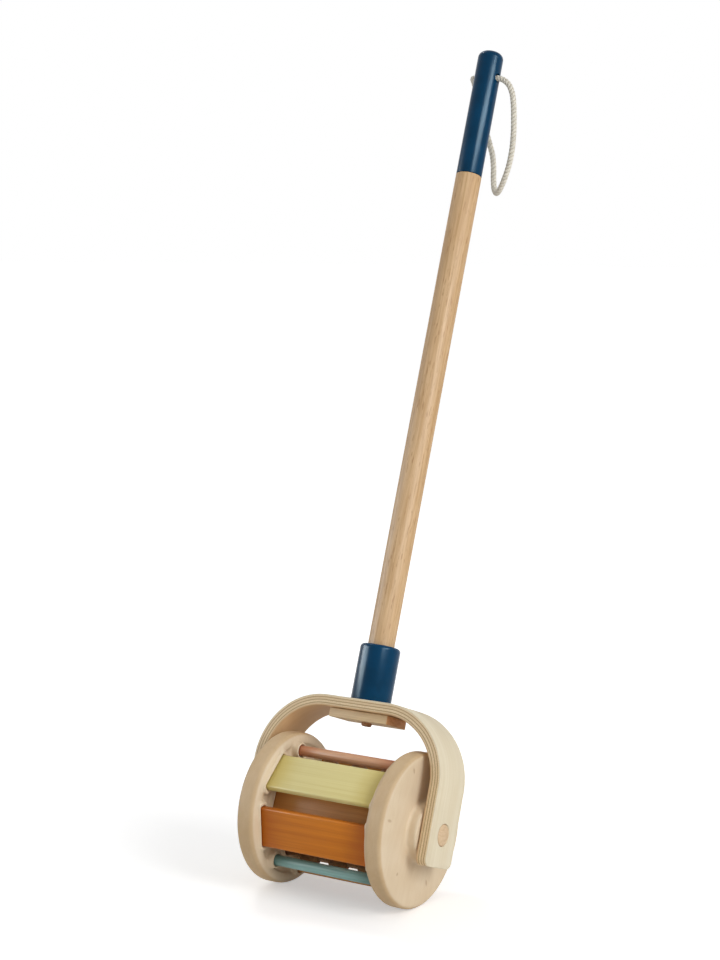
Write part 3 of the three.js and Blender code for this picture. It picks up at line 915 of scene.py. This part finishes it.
def discBlank():  # the turned right disc with its hub boss, before any socket
    radius, inner, outer = rollerSet["discRadius"], rollerSet["inner"], rollerSet["outer"]
    boss, bossFace = rollerSet["bossRadius"], outer + rollerSet["bossHeight"]
    disc = addRound("rightDisc", radius, inner, outer, rollerSet["sides"], across=True)
    roundEdges(disc, lambda point: point.x > outer - onFace, rollerSet["outerEdge"], rollerSet["outerSteps"])
    roundEdges(disc, lambda point: point.x < inner + onFace, rollerSet["innerEdge"], rollerSet["innerSteps"])
    pickFaces(disc, lambda middle, normal: normal.x > 0.9999)
    bpy.ops.mesh.inset(thickness=radius - rollerSet["outerEdge"] - boss)
    push((bossFace - outer, 0, 0))
    endEdit()

    def atTop(point):
        return abs(point.x - bossFace) < onFace

    def atBase(point):
        return abs(point.x - outer) < onFace and abs(point.yz.length - boss) < rollerSet["bossSlack"]

    for test in (atTop, atBase):
        roundEdges(disc, test, rollerSet["bossFillet"], rollerSet["filletSteps"])
    return disc


def cutSockets(disc):
    inner, past = rollerSet["inner"], fits["drillPast"]
    dishFloor = inner + rollerSet["dishDepth"]
    dish = addRound("innerDish", rollerSet["dishRadius"], inner - past, dishFloor, rollerSet["dishSides"],
                    across=True)
    roundEdges(dish, lambda point: point.x > inner, rollerSet["dishSlope"], rollerSet["filletSteps"])
    drill(disc, dish)
    middle = (inner + rollerSet["outer"]) / 2
    for bar in bars:
        wall, height, side = rollerSet["socketWall"], rollerSet["socketHeight"], None
        if bar["kind"] == "outer":
            wall, height, side = rollerSet["lipWall"], rollerSet["lipHeight"], rollerSet["lipSide"]
        elif bar["kind"] == "dowel":
            height = rollerSet["dowelSocketHeight"]
        joinShape(disc, barShape(bar, wall, inner - height, middle, "socketRise", side), "UNION")
    lip = fits["softLip"]
    for bar in bars:
        drill(disc, barShape(bar, lip, 0.0, barHalf + lip, "socketPocket"))
    bossFace = rollerSet["outer"] + rollerSet["bossHeight"]
    bore = addRound("discBore", rollerSet["bore"], inner - past, bossFace + past, rollerSet["boreSides"],
                    across=True)
    drill(disc, bore)


def soften(disc):  # pressed wood has no crisp edge, and the sockets are the softest
    applied(disc, "REMESH", mode="VOXEL", voxel_size=rollerSet["voxel"])
    applied(disc, "SMOOTH", factor=rollerSet["softShare"], iterations=rollerSet["softPasses"])
    reach = rollerSet["inner"] + rollerSet["socketReach"]
    sockets = disc.vertex_groups.new(name="sockets")
    sockets.add([vertex.index for vertex in disc.data.vertices if vertex.co.x < reach], 1.0, "REPLACE")
    applied(disc, "SMOOTH", factor=rollerSet["softShare"], iterations=rollerSet["socketPasses"],
            vertex_group="sockets")
    disc.vertex_groups.clear()


def makeDiscs():
    disc = discBlank()
    cutSockets(disc)
    soften(disc)
    leftDisc = copyOf(disc, "leftDisc")
    leftDisc.data.transform(Matrix.Rotation(math.pi, 4, "Y"))
    finish = discMaterial()
    deliver(disc, rollerToRow, "disc_right", "roller", finish, smoothTo=180)
    deliver(leftDisc, rollerToRow, "disc_left", "roller", finish, smoothTo=180)


makeDiscs()
print("discs made")


# Beads, modelled once and copied along both bars
beadSet = dict(
    radius=0.0082, segments=48, rings=24, hole=0.0039, holeSides=48, holeReach=0.02, lip=0.0005,
    spacing=0.02269,
    # finish: a dark brown, painted shade for beads that sit in shade under the slats
    finish=dict(deep=(110, 75, 44), pale=(148, 108, 68), rough=0.42, gloss=0.1, relief=0.00012,
                reliefShare=0.35),
)


def beadMaterial():
    material, shader, coords = newMaterial("beadDarkShade")
    fibres = coords.streaks((60, 900, 300), 4.0, 0.6)
    rings = coords.streaks((40, 420, 160), 3.0, 0.55, 0.8)
    color = (0.5 * fibres + 0.5 * rings).between(0.34, 0.68).tone(beadSet["finish"])
    dress(shader, beadSet["finish"], color, fibres * 0.15, fibres)
    return material


def makeBeads():
    clearSelection()
    bpy.ops.mesh.primitive_uv_sphere_add(
        segments=beadSet["segments"], ring_count=beadSet["rings"], radius=beadSet["radius"],
        rotation=(0, math.pi / 2, 0))
    model = settle("beadModel")
    reach = beadSet["holeReach"]
    drill(model, addRound("beadHole", beadSet["hole"], -reach, reach, beadSet["holeSides"], across=True))
    softenEdges(model, beadSet["lip"])
    finish = beadMaterial()
    for row, side in (("lower", -1), ("upper", 1)):
        for place, step in (("left", -1), ("middle", 0), ("right", 1)):
            node = f"bead_{row}_{place}"
            bead = copyOf(model, f"{row}{place.title()}Bead")
            spot = (step * beadSet["spacing"], 0, side * barSet["beadBarRing"])
            bead.data.transform(Matrix.Translation(spot))
            deliver(bead, rollerToRow, node, node, finish)
    bpy.data.objects.remove(model)


makeBeads()
print("beads made")


# Floor, light and world
stageSet = dict(
    floorSize=60, floorDrop=0.0002, floorGlow=0.42, farGlow=0.2, fadeFrom=0.12, fadeTo=0.6,
    paper=[(0.86, 0.86, 0.86, 1), (0.88, 0.88, 0.88, 1)], paperRough=0.9, world=0.45, target=(0, -0.12, -0.3))
lamps = dict(
    key=dict(place=(1.81, -0.63, 0.55), size=(0.8, 1.2), power=20.5, seen="diffuse"),
    streak=dict(place=(1.76, -0.65, 0.8), size=(1.6, 0.6), power=86, seen="glossy"),
    rim=dict(place=(-1.55, -0.9, 0.1), size=(1.3, 0.6), power=52, seen="glossy"),
    top=dict(place=(-0.85, 0.25, 1.0), size=(0.35, 0.35), power=4, seen="both"))


def addLamp(name, lamp):
    data = bpy.data.lights.new(name, "AREA")
    data.shape = "RECTANGLE"
    data.size, data.size_y = lamp["size"]
    data.energy = lamp["power"]
    light = bpy.data.objects.new(name, data)
    light.visible_glossy = lamp["seen"] != "diffuse"
    light.visible_diffuse = lamp["seen"] != "glossy"
    bpy.context.scene.collection.objects.link(light)
    aim = (Vector(stageSet["target"]) - Vector(lamp["place"])).to_track_quat("-Z", "Y")
    light.matrix_world = Matrix.Translation(lamp["place"]) @ aim.to_matrix().to_4x4()


def whiteRays(wire):  # 1 for rays that see the white background; the others get the room's softer light
    names = ("Is Camera Ray", "Is Glossy Ray", "Is Transmission Ray")
    camera, glossy, through = [wire.node("ShaderNodeLightPath", {}, {}, name) for name in names]
    return (camera + glossy + through).atMost(1.0)


def addFloor():
    clearSelection()
    height = floorHeight - stageSet["floorDrop"]
    bpy.ops.mesh.primitive_plane_add(size=stageSet["floorSize"], location=(0, 0, height))
    floor = settle("paleFloor")
    material, shader, coords = newMaterial("palePaper")
    x, y, _ = coords.axes()
    away = ((x - axleAt.x) ** 2.0 + (y - axleAt.y) ** 2.0) ** 0.5
    white = away.between(stageSet["fadeFrom"], stageSet["fadeTo"])  # the paper is whiter away from the roller
    glow = whiteRays(coords) * (stageSet["floorGlow"] + white * stageSet["farGlow"])
    paper = coords.noise(300, 2.0, 0.5).mix(*stageSet["paper"])
    feed(shader, {"Base Color": paper, "Emission Color": glow},
         {"Emission Strength": 1.0, "Roughness": stageSet["paperRough"], "Specular IOR Level": 0.0})
    floor.data.materials.append(material)


def setWorld():
    world = bpy.data.worlds.new("softStudio")
    world.use_nodes = True
    tree = world.node_tree
    back = next(node for node in tree.nodes if node.type == "BACKGROUND")
    white = whiteRays(Wire(tree, back.outputs[0]))
    strength = stageSet["world"] + white * (1 - stageSet["world"])
    back.inputs["Color"].default_value = (1, 1, 1, 1)
    tree.links.new(strength.socket, back.inputs["Strength"])
    bpy.context.scene.world = world


addFloor()
setWorld()
for lampName, lamp in lamps.items():
    addLamp(lampName + "Lamp", lamp)
bpy.context.scene.view_settings.view_transform = "Standard"
print("stage set")
